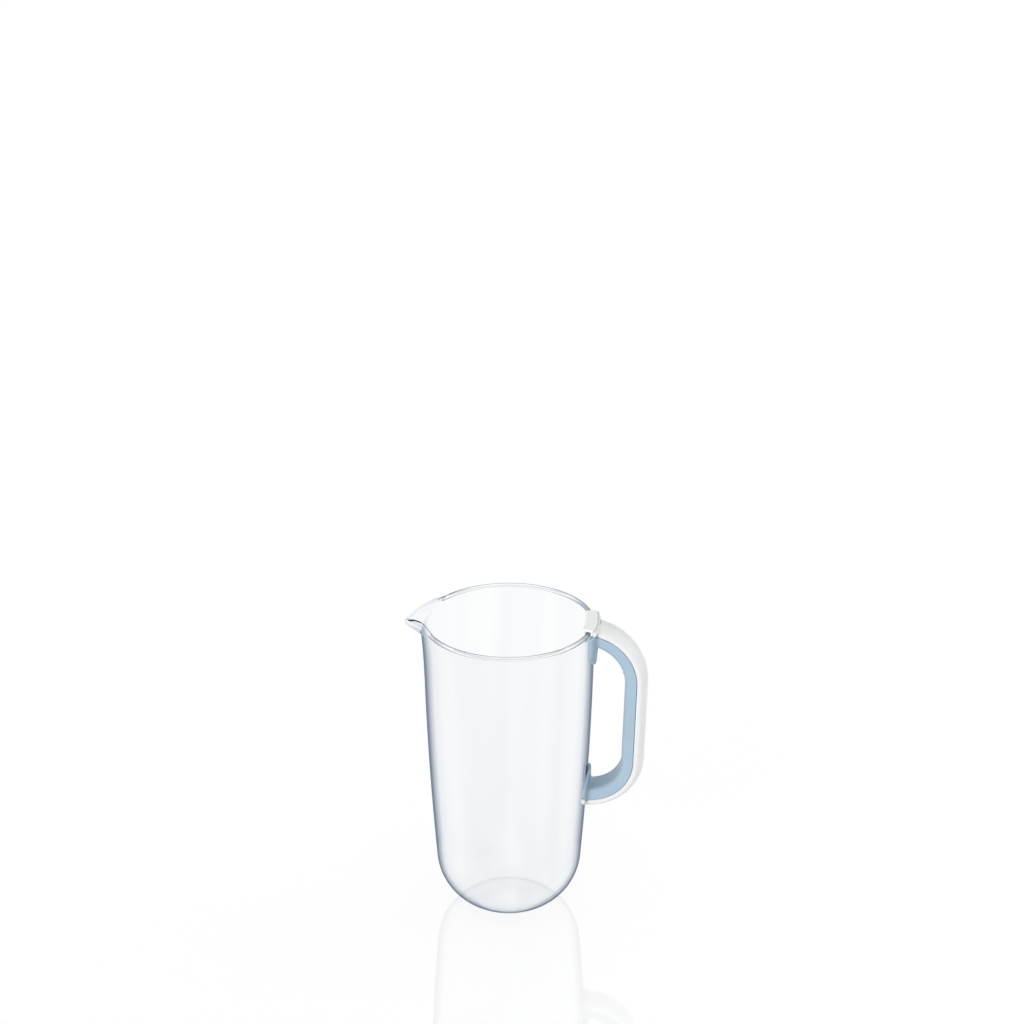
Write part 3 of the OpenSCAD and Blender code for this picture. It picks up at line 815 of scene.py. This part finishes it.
spin_sector(clip_bm, [
    (CLIP_INNER_R, clip_low_z, CLIP_EDGE_R), (clip_wall_r, clip_low_z, CLIP_EDGE_R),
    (clip_wall_r, clip_roof_z, CLIP_BEND_R), (clip_leg_r, clip_roof_z, CLIP_BEND_R),
    (clip_leg_r, clip_outer_low_z, CLIP_EDGE_R), (clip_outer_r, clip_outer_low_z, CLIP_EDGE_R),
    (clip_outer_r, clip_top_z, CLIP_EDGE_R), (CLIP_INNER_R, clip_top_z, CLIP_EDGE_R),
], clip_half_turn, CLIP_BEND_R)
ridge_corners = [(clip_outer_r + x * RIDGE_R, ridge_z + z * RIDGE_R)
                 for x, z in ((-1, -1), (1, -1), (1, 1), (-1, 1))]
spin_sector(clip_bm, [(x, z, RIDGE_R) for x, z in ridge_corners], clip_half_turn, 0)
clip = finish_mesh(clip_bm, "rim_hook")
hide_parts("rim_clip")
flatten_faces(clip)

# Unfilled polypropylene, cloudy as frosted ice: light goes through it but no shape does. The small
# emission stands for the light that it takes in at its lit sides and gives off at the others.
CLIP_PALE = "#FDFEFE"
CLIP_PALE_COOL = "#F3F6F8"
CLOUD = 2.5 * MM
clip_mat, tree, out = new_material("half_clear_polypropylene")
place = add_node(tree, "ShaderNodeTexCoord").outputs["Object"]
cloud = add_node(tree, "ShaderNodeTexNoise", {"Scale": 1 / CLOUD, "Detail": 3.0}, {"Vector": place})
rough = add_node(tree, "ShaderNodeMapRange", {"To Min": 0.15, "To Max": 0.3},
                 {"Value": cloud.outputs["Fac"]})
tone = add_node(tree, "ShaderNodeMix", {"A": linear(CLIP_PALE), "B": linear(CLIP_PALE_COOL)},
                {"Factor": cloud.outputs["Fac"]}, data_type="RGBA")
clip_shader = add_node(tree, "ShaderNodeBsdfPrincipled",
                       {"Transmission Weight": 0.12, "IOR": 1.4,
                        "Emission Color": linear(CLIP_PALE), "Emission Strength": 0.12},
                       {"Base Color": tone.outputs["Result"], "Roughness": rough.outputs["Result"]})
tree.links.new(clip_shader.outputs["BSDF"], out.inputs["Surface"])
clip.data.materials.append(clip_mat)


# Floor and studio: a plain pale floor with a clear gloss, a white room and three large soft lamps.
# What looks at the floor, straight or through glass, sees white with the jug's shadow and reflection
# on it, while the jug itself is lit by a plain matt floor and a dimmer room.
FLOOR_HALF = 14.0
FLOOR_WHITE = 0.88
FLOOR_SHADE = 0.34
FLOOR_GLOW = 0.765
FLOOR_ROUGHNESS = 0.03
FLOOR_INDEX = 1.9
floor_bm = bmesh.new()
bmesh.ops.create_grid(floor_bm, x_segments=1, y_segments=1, size=FLOOR_HALF)
floor_mesh = bpy.data.meshes.new("studio_floor")
floor_bm.to_mesh(floor_mesh)
floor_bm.free()
floor = bpy.data.objects.new("studio_floor", floor_mesh)
bpy.context.scene.collection.objects.link(floor)


def straight_look(tree):
    """Gives 1 to a look that is straight, mirrored or through glass, and 0 to light on a matt surface.

    Such light also comes through glass, so the looks count only before the first matt surface."""
    path = add_node(tree, "ShaderNodeLightPath").outputs
    either = add_node(tree, "ShaderNodeMath",
                      links={0: path["Is Camera Ray"], 1: path["Is Glossy Ray"]}, operation="MAXIMUM")
    clear = add_node(tree, "ShaderNodeMath",
                     links={0: either.outputs["Value"], 1: path["Is Transmission Ray"]},
                     operation="MAXIMUM")
    direct = add_node(tree, "ShaderNodeMath", {1: 0.5}, {0: path["Diffuse Depth"]},
                      operation="LESS_THAN")
    straight = add_node(tree, "ShaderNodeMath",
                        links={0: clear.outputs["Value"], 1: direct.outputs["Value"]},
                        operation="MULTIPLY")
    return straight.outputs["Value"]


floor_mat, tree, out = new_material("pale_floor")
matt = add_node(tree, "ShaderNodeBsdfDiffuse", {"Color": (FLOOR_WHITE, FLOOR_WHITE, FLOOR_WHITE, 1)})
shade = add_node(tree, "ShaderNodeBsdfDiffuse", {"Color": (FLOOR_SHADE, FLOOR_SHADE, FLOOR_SHADE, 1)})
glow = add_node(tree, "ShaderNodeEmission", {"Strength": FLOOR_GLOW})
lit = add_node(tree, "ShaderNodeAddShader",
               links={0: shade.outputs["BSDF"], 1: glow.outputs["Emission"]})
gloss = add_node(tree, "ShaderNodeBsdfGlossy", {"Color": (1, 1, 1, 1), "Roughness": FLOOR_ROUGHNESS})
sheen = add_node(tree, "ShaderNodeFresnel", {"IOR": FLOOR_INDEX})
seen = add_node(tree, "ShaderNodeMixShader",
                links={"Fac": sheen.outputs["Fac"], 1: lit.outputs["Shader"], 2: gloss.outputs["BSDF"]})
whole = add_node(tree, "ShaderNodeMixShader",
                 links={"Fac": straight_look(tree), 1: matt.outputs["BSDF"], 2: seen.outputs["Shader"]})
tree.links.new(whole.outputs["Shader"], out.inputs["Surface"])
floor.data.materials.append(floor_mat)

ROOM_LIGHT = 0.36
world = bpy.data.worlds.new("white_room")
bpy.context.scene.world = world
world.use_nodes = True
tree = world.node_tree
tree.nodes.clear()
out = add_node(tree, "ShaderNodeOutputWorld")
strength = add_node(tree, "ShaderNodeMapRange", {"To Min": ROOM_LIGHT, "To Max": 1.0},
                    {"Value": straight_look(tree)})
room = add_node(tree, "ShaderNodeBackground", {"Color": (1, 1, 1, 1)},
                {"Strength": strength.outputs["Result"]})
tree.links.new(room.outputs["Background"], out.inputs["Surface"])

for name, spread, strength, spot in (
    ("front_softbox", 40, 2.05, (-0.3, -1.0, 0.25)),
    ("side_softbox", 50, 1.3, (1.0, 0.5, 0.35)),
    ("top_softbox", 100, 0.2, (0.0, 0.1, 1.0)),
):
    lamp = bpy.data.lights.new(name, "SUN")
    lamp.angle = math.radians(spread)
    lamp.energy = strength
    lamp_object = bpy.data.objects.new(name, lamp)
    lamp_object.location = spot
    lamp_object.rotation_euler = Vector(spot).to_track_quat("Z", "Y").to_euler()
    lamp_object.visible_glossy = False
    lamp_object.visible_transmission = False
    bpy.context.scene.collection.objects.link(lamp_object)


# Camera: a long lens from above the table's edge, a little to the handle's side of square on
CAMERA_REACH = 2.0876
CAMERA_HEIGHT = 1.2768
CAMERA_TURN = math.radians(5.5)
CAMERA_DIP = math.radians(24.176)
LENS = 105.41
AXIS_LEFT_PX = 3.58
PHOTO_PX = 1024
camera_data = bpy.data.cameras.new("product_camera")
camera_data.lens = LENS
camera = bpy.data.objects.new("product_camera", camera_data)
camera.location = (CAMERA_REACH * math.sin(CAMERA_TURN), -CAMERA_REACH * math.cos(CAMERA_TURN),
                   CAMERA_HEIGHT)
aside = math.atan(AXIS_LEFT_PX / PHOTO_PX * camera_data.sensor_width / LENS)
camera.rotation_euler = (math.pi / 2 - CAMERA_DIP, 0, CAMERA_TURN - aside)
bpy.context.scene.collection.objects.link(camera)
bpy.context.scene.camera = camera
bpy.context.scene.view_settings.view_transform = "Standard"
